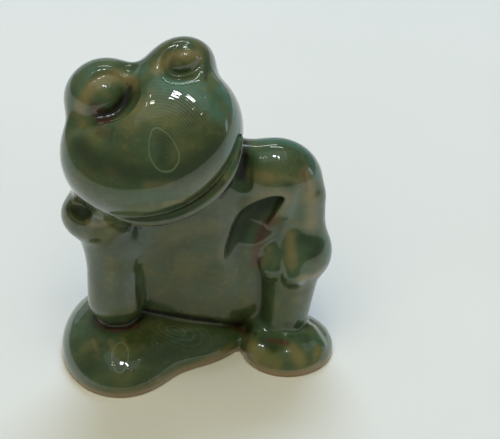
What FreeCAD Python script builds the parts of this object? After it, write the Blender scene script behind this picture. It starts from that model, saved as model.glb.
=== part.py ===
import FreeCAD, Part
import math
import os
from FreeCAD import Placement, Rotation, Vector

# A small glazed ceramic frog, seated, about 40 mm tall.
# Frame: +Z up, -Y is the front, +X is the viewer's right, origin under the middle of the
# bounding box on the flat underside. Millimetres.
# The figure is fired clay: each modelled member of it (torso, head, limbs, eyes) is a closed
# solid of its own, and neighbours meet face to face along the creases where the clay is luted.
# Nothing in it moves.

doc = FreeCAD.newDocument("seated_frog")
sheet = doc.addObject("Spreadsheet::Sheet", "Sizes")
ROWS = [
    ("body_x", -0.32, "back and shoulders, centre x"),
    ("body_y", 3.41, "back and shoulders, centre y"),
    ("body_z", 14.384, "back and shoulders, centre z"),
    ("body_rx", 9.803, "back and shoulders, radius along its own x"),
    ("body_ry", 5.221, "back and shoulders, radius along its own y"),
    ("body_rz", 12.786, "back and shoulders, radius along its own z"),
    ("rump_x", 0, "rump, centre x"),
    ("rump_y", 3.623, "rump, centre y"),
    ("rump_z", 5.86, "rump, centre z"),
    ("rump_rx", 12.04, "rump, radius along its own x"),
    ("rump_ry", 6.393, "rump, radius along its own y"),
    ("rump_rz", 6.713, "rump, radius along its own z"),
    ("flank_x", 6.606, "left flank behind the arm, centre x"),
    ("flank_y", 3.196, "left flank behind the arm, centre y"),
    ("flank_z", 14.384, "left flank behind the arm, centre z"),
    ("flank_rx", 4.688, "left flank behind the arm, radius along its own x"),
    ("flank_ry", 3.196, "left flank behind the arm, radius along its own y"),
    ("flank_rz", 9.589, "left flank behind the arm, radius along its own z"),
    ("belly_x", -1.279, "belly panel centre x"),
    ("belly_y", 1.492, "belly panel centre y"),
    ("belly_z", 13.425, "belly panel centre z"),
    ("belly_wide", 14.704, "belly panel width"),
    ("belly_deep", 8.737, "belly panel depth"),
    ("belly_tall", 22.589, "belly panel height"),
    ("belly_round", 2.77, "belly panel edge radius"),
    ("fold_x", -8.737, "folded right leg, knee end, centre x"),
    ("fold_y", -2.344, "folded right leg, knee end, centre y"),
    ("fold_z", 0.852, "folded right leg, knee end, centre z"),
    ("fold_rx", 7.352, "folded right leg, knee end, radius along its own x"),
    ("fold_ry", 10.335, "folded right leg, knee end, radius along its own y"),
    ("fold_rz", 4.582, "folded right leg, knee end, radius along its own z"),
    ("shank_x", -1.598, "folded right leg, hip end, centre x"),
    ("shank_y", -1.918, "folded right leg, hip end, centre y"),
    ("shank_z", 0.639, "folded right leg, hip end, centre z"),
    ("shank_rx", 7.245, "folded right leg, hip end, radius along its own x"),
    ("shank_ry", 5.327, "folded right leg, hip end, radius along its own y"),
    ("shank_rz", 3.623, "folded right leg, hip end, radius along its own z"),
    ("shank_turn", 14, "turn of the hip end about Z, degrees"),
    ("sole_x", 10.868, "left foot, centre x"),
    ("sole_y", -3.09, "left foot, centre y"),
    ("sole_z", 0.746, "left foot, centre z"),
    ("sole_rx", 5.647, "left foot, radius along its own x"),
    ("sole_ry", 5.327, "left foot, radius along its own y"),
    ("sole_rz", 2.983, "left foot, radius along its own z"),
    ("toe_inner_x", 10.229, "inner toe, first ball centre x"),
    ("toe_inner_y", -3.623, "inner toe, first ball centre y"),
    ("toe_inner_z", 2.451, "inner toe, first ball centre z"),
    ("toe_inner_to_x", 6.286, "inner toe, second ball centre x"),
    ("toe_inner_to_y", -5.541, "inner toe, second ball centre y"),
    ("toe_inner_to_z", 1.385, "inner toe, second ball centre z"),
    ("toe_inner_ra", 1.279, "inner toe, first ball radius"),
    ("toe_inner_rb", 1.172, "inner toe, second ball radius"),
    ("toe_middle_x", 10.442, "middle toe, first ball centre x"),
    ("toe_middle_y", -4.262, "middle toe, first ball centre y"),
    ("toe_middle_z", 2.451, "middle toe, first ball centre z"),
    ("toe_middle_to_x", 10.655, "middle toe, second ball centre x"),
    ("toe_middle_to_y", -7.458, "middle toe, second ball centre y"),
    ("toe_middle_to_z", 1.279, "middle toe, second ball centre z"),
    ("toe_middle_ra", 1.279, "middle toe, first ball radius"),
    ("toe_middle_rb", 1.385, "middle toe, second ball radius"),
    ("toe_outer_x", 11.294, "outer toe, first ball centre x"),
    ("toe_outer_y", -3.836, "outer toe, first ball centre y"),
    ("toe_outer_z", 2.451, "outer toe, first ball centre z"),
    ("toe_outer_to_x", 14.491, "outer toe, second ball centre x"),
    ("toe_outer_to_y", -5.327, "outer toe, second ball centre y"),
    ("toe_outer_to_z", 1.385, "outer toe, second ball centre z"),
    ("toe_outer_ra", 1.279, "outer toe, first ball radius"),
    ("toe_outer_rb", 1.385, "outer toe, second ball radius"),
    ("shin_x", 10.335, "left shin, first ball centre x"),
    ("shin_y", -2.024, "left shin, first ball centre y"),
    ("shin_z", 4.369, "left shin, first ball centre z"),
    ("shin_to_x", 11.081, "left shin, second ball centre x"),
    ("shin_to_y", -1.705, "left shin, second ball centre y"),
    ("shin_to_z", 11.507, "left shin, second ball centre z"),
    ("shin_ra", 3.516, "left shin, first ball radius"),
    ("shin_rb", 3.303, "left shin, second ball radius"),
    ("knee_x", 12.839, "left knee, centre x"),
    ("knee_y", -1.172, "left knee, centre y"),
    ("knee_z", 13.319, "left knee, centre z"),
    ("knee_rx", 3.143, "left knee, radius along its own x"),
    ("knee_ry", 3.41, "left knee, radius along its own y"),
    ("knee_rz", 3.09, "left knee, radius along its own z"),
    ("knee_turn", 20, "knee roll about Y, degrees"),
    ("thigh_x", 10.655, "left thigh, centre x"),
    ("thigh_y", 3.196, "left thigh, centre y"),
    ("thigh_z", 9.589, "left thigh, centre z"),
    ("thigh_rx", 3.836, "left thigh, radius along its own x"),
    ("thigh_ry", 6.393, "left thigh, radius along its own y"),
    ("thigh_rz", 4.795, "left thigh, radius along its own z"),
    ("forearm_x", -9.909, "right forearm, first ball centre x"),
    ("forearm_y", -3.516, "right forearm, first ball centre y"),
    ("forearm_z", 6.393, "right forearm, first ball centre z"),
    ("forearm_to_x", -10.016, "right forearm, second ball centre x"),
    ("forearm_to_y", -2.983, "right forearm, second ball centre y"),
    ("forearm_to_z", 17.048, "right forearm, second ball centre z"),
    ("forearm_ra", 3.143, "right forearm, first ball radius"),
    ("forearm_rb", 2.983, "right forearm, second ball radius"),
    ("wrist_x", -10.016, "right wrist, first ball centre x"),
    ("wrist_y", -2.983, "right wrist, first ball centre y"),
    ("wrist_z", 17.048, "right wrist, first ball centre z"),
    ("wrist_to_x", -12.147, "right wrist, second ball centre x"),
    ("wrist_to_y", -2.557, "right wrist, second ball centre y"),
    ("wrist_to_z", 19.818, "right wrist, second ball centre z"),
    ("wrist_ra", 2.877, "right wrist, first ball radius"),
    ("wrist_rb", 2.557, "right wrist, second ball radius"),
    ("fist_x", -12.573, "right fist, centre x"),
    ("fist_y", -2.77, "right fist, centre y"),
    ("fist_z", 20.458, "right fist, centre z"),
    ("fist_rx", 2.877, "right fist, radius along its own x"),
    ("fist_ry", 2.77, "right fist, radius along its own y"),
    ("fist_rz", 2.344, "right fist, radius along its own z"),
    ("fist_turn", 15, "fist roll about Y, degrees"),
    ("shoulder_x", 5.327, "left shoulder, first ball centre x"),
    ("shoulder_y", 0.959, "left shoulder, first ball centre y"),
    ("shoulder_z", 23.867, "left shoulder, first ball centre z"),
    ("shoulder_to_x", 11.294, "left shoulder, second ball centre x"),
    ("shoulder_to_y", 0.213, "left shoulder, second ball centre y"),
    ("shoulder_to_z", 23.121, "left shoulder, second ball centre z"),
    ("shoulder_ra", 3.516, "left shoulder, first ball radius"),
    ("shoulder_rb", 3.729, "left shoulder, second ball radius"),
    ("elbow_x", 11.72, "left upper arm, first ball centre x"),
    ("elbow_y", 0, "left upper arm, first ball centre y"),
    ("elbow_z", 22.589, "left upper arm, first ball centre z"),
    ("elbow_to_x", 13.425, "left upper arm, second ball centre x"),
    ("elbow_to_y", -0.852, "left upper arm, second ball centre y"),
    ("elbow_to_z", 18.113, "left upper arm, second ball centre z"),
    ("elbow_ra", 3.09, "left upper arm, first ball radius"),
    ("elbow_rb", 2.131, "left upper arm, second ball radius"),
    ("cuff_x", 13.425, "left wrist, first ball centre x"),
    ("cuff_y", -0.852, "left wrist, first ball centre y"),
    ("cuff_z", 18.646, "left wrist, first ball centre z"),
    ("cuff_to_x", 12.999, "left wrist, second ball centre x"),
    ("cuff_to_y", -1.492, "left wrist, second ball centre y"),
    ("cuff_to_z", 15.343, "left wrist, second ball centre z"),
    ("cuff_ra", 2.024, "left wrist, first ball radius"),
    ("cuff_rb", 1.811, "left wrist, second ball radius"),
    ("finger_inner_x", 12.36, "inner finger, first ball centre x"),
    ("finger_inner_y", -2.024, "inner finger, first ball centre y"),
    ("finger_inner_z", 15.769, "inner finger, first ball centre z"),
    ("finger_inner_to_x", 8.417, "inner finger, second ball centre x"),
    ("finger_inner_to_y", -3.196, "inner finger, second ball centre y"),
    ("finger_inner_to_z", 13.106, "inner finger, second ball centre z"),
    ("finger_inner_ra", 1.705, "inner finger, first ball radius"),
    ("finger_inner_rb", 1.332, "inner finger, second ball radius"),
    ("finger_middle_x", 12.573, "middle finger, first ball centre x"),
    ("finger_middle_y", -2.451, "middle finger, first ball centre y"),
    ("finger_middle_z", 15.343, "middle finger, first ball centre z"),
    ("finger_middle_to_x", 10.548, "middle finger, second ball centre x"),
    ("finger_middle_to_y", -4.262, "middle finger, second ball centre y"),
    ("finger_middle_to_z", 11.934, "middle finger, second ball centre z"),
    ("finger_middle_ra", 1.705, "middle finger, first ball radius"),
    ("finger_middle_rb", 1.332, "middle finger, second ball radius"),
    ("finger_outer_x", 13.106, "outer finger, first ball centre x"),
    ("finger_outer_y", -2.344, "outer finger, first ball centre y"),
    ("finger_outer_z", 15.343, "outer finger, first ball centre z"),
    ("finger_outer_to_x", 13.638, "outer finger, second ball centre x"),
    ("finger_outer_to_y", -4.155, "outer finger, second ball centre y"),
    ("finger_outer_to_z", 12.679, "outer finger, second ball centre z"),
    ("finger_outer_ra", 1.652, "outer finger, first ball radius"),
    ("finger_outer_rb", 1.279, "outer finger, second ball radius"),
    ("palm_x", 12.999, "palm centre x"),
    ("palm_y", -1.492, "palm centre y"),
    ("palm_z", 15.343, "palm centre z"),
    ("palm_r", 2.344, "palm radius"),
    ("head_x", -4.901, "head frame origin x"),
    ("head_y", -2.344, "head frame origin y"),
    ("head_z", 28.982, "head frame origin z"),
    ("head_tilt", 24, "sideways tilt of the head, degrees"),
    ("head_yaw", 14, "turn of the head, degrees"),
    ("head_pitch", 38, "how far the face looks up, degrees"),
    ("skull_x", 0, "skull, in the head frame, centre x"),
    ("skull_y", 0.639, "skull, in the head frame, centre y"),
    ("skull_z", 0.213, "skull, in the head frame, centre z"),
    ("skull_rx", 10.548, "skull, in the head frame, radius along its own x"),
    ("skull_ry", 8.524, "skull, in the head frame, radius along its own y"),
    ("skull_rz", 9.163, "skull, in the head frame, radius along its own z"),
    ("muzzle_x", 0, "muzzle, in the head frame, centre x"),
    ("muzzle_y", -2.77, "muzzle, in the head frame, centre y"),
    ("muzzle_z", -1.279, "muzzle, in the head frame, centre z"),
    ("muzzle_rx", 9.803, "muzzle, in the head frame, radius along its own x"),
    ("muzzle_ry", 5.541, "muzzle, in the head frame, radius along its own y"),
    ("muzzle_rz", 7.352, "muzzle, in the head frame, radius along its own z"),
    ("jaw_x", 0.959, "lower jaw, in the head frame, centre x"),
    ("jaw_y", -0.639, "lower jaw, in the head frame, centre y"),
    ("jaw_z", -4.901, "lower jaw, in the head frame, centre z"),
    ("jaw_rx", 8.098, "lower jaw, in the head frame, radius along its own x"),
    ("jaw_ry", 5.967, "lower jaw, in the head frame, radius along its own y"),
    ("jaw_rz", 4.475, "lower jaw, in the head frame, radius along its own z"),
    ("right_lid_x", -2.717, "right eyelid dome, in the head frame, centre x"),
    ("right_lid_y", -0.426, "right eyelid dome, in the head frame, centre y"),
    ("right_lid_z", 6.713, "right eyelid dome, in the head frame, centre z"),
    ("right_lid_rx", 4.049, "right eyelid dome, in the head frame, radius along its own x"),
    ("right_lid_ry", 4.155, "right eyelid dome, in the head frame, radius along its own y"),
    ("right_lid_rz", 3.729, "right eyelid dome, in the head frame, radius along its own z"),
    ("right_socket_x", -1.438, "right eye socket, in the head frame, centre x"),
    ("right_socket_y", -4.901, "right eye socket, in the head frame, centre y"),
    ("right_socket_z", 6.5, "right eye socket, in the head frame, centre z"),
    ("right_socket_rx", 2.664, "right eye socket, in the head frame, radius along its own x"),
    ("right_socket_ry", 2.238, "right eye socket, in the head frame, radius along its own y"),
    ("right_socket_rz", 2.024, "right eye socket, in the head frame, radius along its own z"),
    ("right_ball_x", -1.438, "right eyeball centre x, in the head frame"),
    ("right_ball_y", -2.77, "right eyeball centre y, in the head frame"),
    ("right_ball_z", 6.713, "right eyeball centre z, in the head frame"),
    ("right_ball_r", 2.024, "right eyeball radius"),
    ("left_lid_x", 6.606, "left eyelid dome, in the head frame, centre x"),
    ("left_lid_y", -0.426, "left eyelid dome, in the head frame, centre y"),
    ("left_lid_z", 6.233, "left eyelid dome, in the head frame, centre z"),
    ("left_lid_rx", 4.049, "left eyelid dome, in the head frame, radius along its own x"),
    ("left_lid_ry", 4.155, "left eyelid dome, in the head frame, radius along its own y"),
    ("left_lid_rz", 3.729, "left eyelid dome, in the head frame, radius along its own z"),
    ("left_socket_x", 7.885, "left eye socket, in the head frame, centre x"),
    ("left_socket_y", -4.901, "left eye socket, in the head frame, centre y"),
    ("left_socket_z", 6.02, "left eye socket, in the head frame, centre z"),
    ("left_socket_rx", 2.664, "left eye socket, in the head frame, radius along its own x"),
    ("left_socket_ry", 2.238, "left eye socket, in the head frame, radius along its own y"),
    ("left_socket_rz", 2.024, "left eye socket, in the head frame, radius along its own z"),
    ("left_ball_x", 7.885, "left eyeball centre x, in the head frame"),
    ("left_ball_y", -2.77, "left eyeball centre y, in the head frame"),
    ("left_ball_z", 6.233, "left eyeball centre z, in the head frame"),
    ("left_ball_r", 2.024, "left eyeball radius"),
    ("shift_x", -0.213, "shift that centres the footprint on the origin, x"),
    ("shift_y", 1.332, "shift that centres the footprint on the origin, y"),
]
for i, (alias, value, note) in enumerate(ROWS, 1):
    sheet.set("A%d" % i, note)
    sheet.set("B%d" % i, "%g" % value)
    sheet.setAlias("B%d" % i, alias)
doc.recompute()


def size(alias):
    return float(getattr(sheet, alias))


def point(key):
    return Vector(size(key + "_x"), size(key + "_y"), size(key + "_z"))


SHIFT = Vector(size("shift_x"), size("shift_y"), 0)
WORLD = Placement(SHIFT, Rotation())
# The head frame: tilted sideways about Y, turned about Z, then leaned back about X.
HEAD = Placement(
    point("head") + SHIFT,
    Rotation(Vector(0, 1, 0), -size("head_tilt"))
    * Rotation(Vector(0, 0, 1), size("head_yaw"))
    * Rotation(Vector(1, 0, 0), -size("head_pitch")),
)


# An ellipsoid's poles lie on its Z axis. POLE turns them onto another axis of the member,
# so that no pole lies on a crease.
POLE = {
    "z": (Rotation(), ("rz", "rx", "ry")),
    "y": (Rotation(Vector(1, 0, 0), 90), ("ry", "rx", "rz")),
    "x": (Rotation(Vector(0, 1, 0), 90), ("rx", "rz", "ry")),
}


def ellipsoid(name, key, frame=WORLD, turn=None, pole="z"):
    o = doc.addObject("Part::Ellipsoid", name)
    o.Angle1, o.Angle2, o.Angle3 = -90, 90, 360
    swing, radii = POLE[pole]
    for prop, r in zip(("Radius1", "Radius2", "Radius3"), radii):
        o.setExpression(prop, "Sizes.%s_%s" % (key, r))
    o.Placement = frame * Placement(point(key), (turn or Rotation()) * swing)
    return o


def ball(name, key, frame=WORLD):
    o = doc.addObject("Part::Sphere", name)
    o.setExpression("Radius", "Sizes.%s_r" % key)
    o.Placement = frame * Placement(point(key), Rotation())
    return o


def role(body, name):
    return [f for f in body.Origin.OriginFeatures if f.Role == name][0]


def limb(name, key):
    """A tapered round-ended limb: two balls joined by their common tangent cone, revolved about its own axis."""
    a, b = point(key), Vector(size(key + "_to_x"), size(key + "_to_y"), size(key + "_to_z"))
    r1, r2, length = size(key + "_ra"), size(key + "_rb"), (b - a).Length
    body = doc.addObject("PartDesign::Body", name)
    sk = body.newObject("Sketcher::SketchObject", name + "_profile")
    sk.AttachmentSupport = (role(body, "XZ_Plane"), [""])
    sk.MapMode = "FlatFace"
    lean = math.asin((r1 - r2) / length)
    n = Vector(math.cos(lean), math.sin(lean), 0)
    up = Vector(0, length, 0)
    z = Vector(0, 0, 1)
    sk.addGeometry(Part.ArcOfCircle(Part.Circle(Vector(0, 0, 0), z, r1), -math.pi / 2, lean), False)
    sk.addGeometry(Part.LineSegment(n * r1, up + n * r2), False)
    sk.addGeometry(Part.ArcOfCircle(Part.Circle(up, z, r2), lean, math.pi / 2), False)
    sk.addGeometry(Part.LineSegment(up + Vector(0, r2, 0), Vector(0, -r1, 0)), False)
    import Sketcher

    C = Sketcher.Constraint
    sk.addConstraint(C("Coincident", 0, 3, -1, 1))
    sk.addConstraint(C("PointOnObject", 2, 3, -2))
    sk.addConstraint(C("Tangent", 0, 2, 1, 1))
    sk.addConstraint(C("Tangent", 1, 2, 2, 1))
    sk.addConstraint(C("Coincident", 2, 2, 3, 1))
    sk.addConstraint(C("Coincident", 3, 2, 0, 1))
    sk.addConstraint(C("PointOnObject", 3, 1, -2))
    sk.addConstraint(C("PointOnObject", 3, 2, -2))
    i = sk.addConstraint(C("Radius", 0, r1))
    sk.setExpression("Constraints[%d]" % i, "Sizes.%s_ra" % key)
    i = sk.addConstraint(C("Radius", 2, r2))
    sk.setExpression("Constraints[%d]" % i, "Sizes.%s_rb" % key)
    i = sk.addConstraint(C("DistanceY", -1, 1, 2, 3, length))
    sk.setExpression(
        "Constraints[%d]" % i,
        "sqrt((Sizes.%s_to_x - Sizes.%s_x)^2 + (Sizes.%s_to_y - Sizes.%s_y)^2 + (Sizes.%s_to_z - Sizes.%s_z)^2)"
        % ((key,) * 6),
    )
    rev = body.newObject("PartDesign::Revolution", name + "_turned")
    rev.Profile = sk
    rev.ReferenceAxis = (sk, ["V_Axis"])
    rev.Angle = 360
    body.Placement = Placement(a + SHIFT, Rotation(Vector(0, 0, 1), b - a))
    return body


def fuse(name, *objects):
    o = doc.addObject("Part::MultiFuse", name)
    o.Shapes = list(objects)
    return o


def cut(name, base, *tools):
    """base less each tool in turn."""
    for i, tool in enumerate(tools):
        o = doc.addObject("Part::Cut", "%s_less_%d" % (name, i))
        o.Base, o.Tool = base, tool
        base = o
    return base


def below_ground():
    o = doc.addObject("Part::Box", "ground")
    o.Length, o.Width, o.Height = 80, 80, 20
    o.Placement = Placement(Vector(-40, -40, -20), Rotation())
    return o


# Belly panel: a padded rectangle with every edge rounded.
belly = doc.addObject("PartDesign::Body", "belly")
bs = belly.newObject("Sketcher::SketchObject", "belly_plan")
bs.AttachmentSupport = (role(belly, "XY_Plane"), [""])
bs.MapMode = "FlatFace"
import Sketcher

w, d = size("belly_wide") / 2, size("belly_deep") / 2
corners = [Vector(-w, -d, 0), Vector(w, -d, 0), Vector(w, d, 0), Vector(-w, d, 0)]
for i in range(4):
    bs.addGeometry(Part.LineSegment(corners[i], corners[(i + 1) % 4]), False)
for i in range(4):
    bs.addConstraint(Sketcher.Constraint("Coincident", i, 2, (i + 1) % 4, 1))
for i in (0, 2):
    bs.addConstraint(Sketcher.Constraint("Horizontal", i))
for i in (1, 3):
    bs.addConstraint(Sketcher.Constraint("Vertical", i))
bs.addConstraint(Sketcher.Constraint("Symmetric", 0, 1, 2, 1, -1, 1))
i = bs.addConstraint(Sketcher.Constraint("DistanceX", 0, 1, 0, 2, 2 * w))
bs.setExpression("Constraints[%d]" % i, "Sizes.belly_wide")
i = bs.addConstraint(Sketcher.Constraint("DistanceY", 1, 1, 1, 2, 2 * d))
bs.setExpression("Constraints[%d]" % i, "Sizes.belly_deep")
bp = belly.newObject("PartDesign::Pad", "belly_pad")
bp.Profile = bs
bp.setExpression("Length", "Sizes.belly_tall")
doc.recompute()
bf = belly.newObject("PartDesign::Fillet", "belly_round_edges")
bf.Base = (bp, ["Edge%d" % (i + 1) for i in range(len(bp.Shape.Edges))])
bf.setExpression("Radius", "Sizes.belly_round")
belly.Placement = Placement(point("belly") + SHIFT - Vector(0, 0, size("belly_tall") / 2), Rotation())

ground = below_ground()
torso_whole = fuse(
    "torso_whole",
    ellipsoid("back", "body"),
    ellipsoid("rump", "rump"),
    ellipsoid("flank", "flank"),
    belly,
)
leg_whole = fuse(
    "right_leg_whole",
    ellipsoid("fold", "fold"),
    ellipsoid("shank", "shank", turn=Rotation(Vector(0, 0, 1), size("shank_turn"))),
)
foot_whole = fuse(
    "left_foot_whole",
    ellipsoid("sole", "sole"),
    limb("toe_inner", "toe_inner"),
    limb("toe_middle", "toe_middle"),
    limb("toe_outer", "toe_outer"),
)
shin_whole = limb("shin", "shin")
thigh_whole = fuse(
    "left_thigh_whole",
    ellipsoid("knee", "knee", turn=Rotation(Vector(0, 1, 0), size("knee_turn"))),
    ellipsoid("thigh", "thigh"),
)
arm_r_whole = fuse("right_arm_whole", limb("forearm", "forearm"), limb("wrist", "wrist"))
fist_whole = ellipsoid("fist", "fist", turn=Rotation(Vector(0, 1, 0), size("fist_turn")))
arm_l_whole = fuse("left_arm_whole", limb("shoulder", "shoulder"), limb("elbow", "elbow"), limb("cuff", "cuff"))
hand_l_whole = fuse(
    "left_hand_whole",
    ball("palm", "palm"),
    limb("finger_inner", "finger_inner"),
    limb("finger_middle", "finger_middle"),
    limb("finger_outer", "finger_outer"),
)
head_whole = fuse("head_whole", ellipsoid("skull", "skull", HEAD, pole="y"), ellipsoid("muzzle", "muzzle", HEAD, pole="y"))
jaw_whole = ellipsoid("jaw", "jaw", HEAD)

nodes = {}
nodes["torso"] = cut("torso", torso_whole, ground)
nodes["right_leg"] = cut("right_leg", leg_whole, ground, torso_whole)
nodes["left_foot"] = cut("left_foot", foot_whole, ground, torso_whole, leg_whole)
nodes["left_thigh"] = cut("left_thigh", thigh_whole, torso_whole, foot_whole)
nodes["left_shin"] = cut("left_shin", shin_whole, foot_whole, torso_whole, thigh_whole)
nodes["right_arm"] = cut("right_arm", arm_r_whole, torso_whole, leg_whole)
nodes["right_hand"] = cut("right_hand", fist_whole, arm_r_whole, torso_whole)
nodes["head"] = cut("head", head_whole, torso_whole, arm_r_whole, fist_whole)
nodes["lower_jaw"] = cut("lower_jaw", jaw_whole, head_whole, torso_whole, arm_r_whole, fist_whole)
nodes["left_arm"] = cut("left_arm", arm_l_whole, torso_whole, head_whole, jaw_whole)
nodes["left_hand"] = cut("left_hand", hand_l_whole, thigh_whole, shin_whole, arm_l_whole, torso_whole)
for side in ("right", "left"):
    lid = cut(
        side + "_hollowed",
        ellipsoid(side + "_dome", side + "_lid", HEAD),
        ellipsoid(side + "_socket_space", side + "_socket", HEAD),
    )
    nodes[side + "_eyelid"] = cut(side + "_eyelid", lid, head_whole)
    nodes[side + "_eyeball"] = cut(side + "_eyeball", ball(side + "_ball", side + "_ball", HEAD), head_whole, lid)

doc.recompute()
for name, o in nodes.items():
    o.Label = name

bad = [o.Name for o in doc.Objects if any(s in o.State for s in ("Invalid", "Error"))]
if bad:
    raise SystemExit("failed objects: %s" % bad)
os.makedirs("parts", exist_ok=True)
low, high = Vector(1e9, 1e9, 1e9), Vector(-1e9, -1e9, -1e9)
for name, o in nodes.items():
    shape = o.Shape
    if shape.isNull() or not shape.isValid() or not shape.Solids or shape.Volume <= 0:
        raise SystemExit("%s has no valid solid" % name)
    box = shape.optimalBoundingBox(False, False)
    low = Vector(min(low.x, box.XMin), min(low.y, box.YMin), min(low.z, box.ZMin))
    high = Vector(max(high.x, box.XMax), max(high.y, box.YMax), max(high.z, box.ZMax))
    print("%-14s solids %d faces %2d volume %8.2f" % (name, len(shape.Solids), len(shape.Faces), shape.Volume), [round(s.Volume, 3) for s in shape.Solids] if len(shape.Solids) > 1 else "")
    shape.exportStep("parts/%s.step" % name)
print("box", [round(v, 3) for v in low], [round(v, 3) for v in high], "middle", round((low.x + high.x) / 2, 3), round((low.y + high.y) / 2, 3))
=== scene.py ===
import math

import bpy
import numpy as np
from mathutils import Matrix, Vector


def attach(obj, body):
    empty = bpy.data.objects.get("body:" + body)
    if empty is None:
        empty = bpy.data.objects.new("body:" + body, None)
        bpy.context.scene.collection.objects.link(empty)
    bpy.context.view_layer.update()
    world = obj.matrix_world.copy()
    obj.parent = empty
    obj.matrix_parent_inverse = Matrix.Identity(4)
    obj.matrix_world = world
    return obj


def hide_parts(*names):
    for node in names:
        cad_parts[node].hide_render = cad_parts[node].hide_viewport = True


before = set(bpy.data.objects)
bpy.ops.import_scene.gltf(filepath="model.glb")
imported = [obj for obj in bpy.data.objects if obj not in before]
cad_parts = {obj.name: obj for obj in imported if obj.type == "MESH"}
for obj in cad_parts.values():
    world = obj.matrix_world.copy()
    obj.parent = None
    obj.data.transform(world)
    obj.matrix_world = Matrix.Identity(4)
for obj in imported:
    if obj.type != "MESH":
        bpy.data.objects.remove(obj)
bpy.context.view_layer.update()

# A small glazed ceramic frog. The whole figure is sculpted as one smooth field, in layout
# millimetres, and every member of it (head, arm, eyelid ...) is then cut out of that field as a
# closed mesh of its own, so neighbours share their borders exactly and the glaze runs across.
SCALE = 1.0655                 # layout millimetres to real millimetres
SHIFT = (-0.213, 1.332, 0.0)   # real millimetres
STEP = 0.2                     # sculpting grid, layout millimetres

# ---- shape ----


def rot_x(deg):
    a = np.radians(deg)
    c, s = np.cos(a), np.sin(a)
    return np.array([[1, 0, 0], [0, c, -s], [0, s, c]])


def rot_y(deg):
    a = np.radians(deg)
    c, s = np.cos(a), np.sin(a)
    return np.array([[c, 0, s], [0, 1, 0], [-s, 0, c]])


def rot_z(deg):
    a = np.radians(deg)
    c, s = np.cos(a), np.sin(a)
    return np.array([[c, -s, 0], [s, c, 0], [0, 0, 1]])


def local(P, c, R=None):
    q = [P[i] - np.float32(c[i]) for i in range(3)]
    if R is not None:
        R = R.astype(np.float32)
        q = [q[0] * R[0, i] + q[1] * R[1, i] + q[2] * R[2, i] for i in range(3)]
    return q


def ell(P, c, r, R=None):
    q = local(P, c, R)
    r = [np.float32(v) for v in r]
    k0 = np.sqrt(sum((q[i] / r[i]) ** 2 for i in range(3)))
    k1 = np.sqrt(sum((q[i] / (r[i] * r[i])) ** 2 for i in range(3))) + np.float32(1e-9)
    return k0 * (k0 - 1) / k1


def sph(P, c, r):
    q = local(P, c)
    return np.sqrt(q[0] ** 2 + q[1] ** 2 + q[2] ** 2) - np.float32(r)


def limb(P, a, b, r1, r2):
    """A tapered round-ended limb from a to b."""
    a, b = np.array(a, np.float32), np.array(b, np.float32)
    ba = b - a
    l2 = np.float32(ba @ ba)
    rr = np.float32(r1 - r2)
    a2 = l2 - rr * rr
    il2 = 1 / l2
    pa = [P[i] - a[i] for i in range(3)]
    y = pa[0] * ba[0] + pa[1] * ba[1] + pa[2] * ba[2]
    z = y - l2
    x2 = sum((pa[i] * l2 - ba[i] * y) ** 2 for i in range(3))
    y2, z2 = y * y * l2, z * z * l2
    k = np.sign(rr) * rr * rr * x2
    out = (np.sqrt(x2 * a2 * il2) + y * rr) * il2 - np.float32(r1)
    out = np.where(np.sign(y) * a2 * y2 < k, np.sqrt(x2 + y2) * il2 - np.float32(r1), out)
    return np.where(np.sign(z) * a2 * z2 > k, np.sqrt(x2 + z2) * il2 - np.float32(r2), out)


def chain(P, points, k=0.0):
    """Limbs through a list of (x, y, z, radius)."""
    out = None
    for p, q in zip(points[:-1], points[1:]):
        d = limb(P, p[:3], q[:3], p[3], q[3] + 1e-4)
        out = d if out is None else smin(out, d, k)
    return out


def rbox(P, c, h, r, R=None):
    q = local(P, c, R)
    q = [np.abs(q[i]) - np.float32(h[i] - r) for i in range(3)]
    out = np.sqrt(sum(np.maximum(v, 0) ** 2 for v in q))
    return out + np.minimum(np.maximum(np.maximum(q[0], q[1]), q[2]), 0) - np.float32(r)


def smin(a, b, k):
    if np.ndim(k) == 0 and k <= 0:
        return np.minimum(a, b)
    k = np.asarray(k, np.float32)
    h = np.maximum(k - np.abs(a - b), 0) / k
    return np.minimum(a, b) - h * h * h * k / 6


def smax(a, b, k):
    return -smin(-a, -b, k)


HEAD_TURN = rot_y(-24) @ rot_z(14) @ rot_x(-38)
HEAD_AT = np.array([-4.6, -2.2, 27.2])


def hd(x, y, z):
    """A point given in the head's own frame: x to its left, -y out of the face, z up the head."""
    return HEAD_AT + HEAD_TURN @ np.array([x, y, z], float)


ORDER = [
    ("torso", 0), ("right_leg", 0.6), ("left_foot", 2.2), ("left_shin", 0.9), ("left_thigh", 1.8),
    ("right_arm", 1.8), ("right_hand", 1.8), ("left_arm", 2.6), ("left_hand", 1.8),
    ("lower_jaw", 0.45), ("head", 0.45), ("right_eyelid", 2.4), ("left_eyelid", 2.4),
]
NAMES = [n for n, _ in ORDER] + ["right_eyeball", "left_eyeball"]


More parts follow.
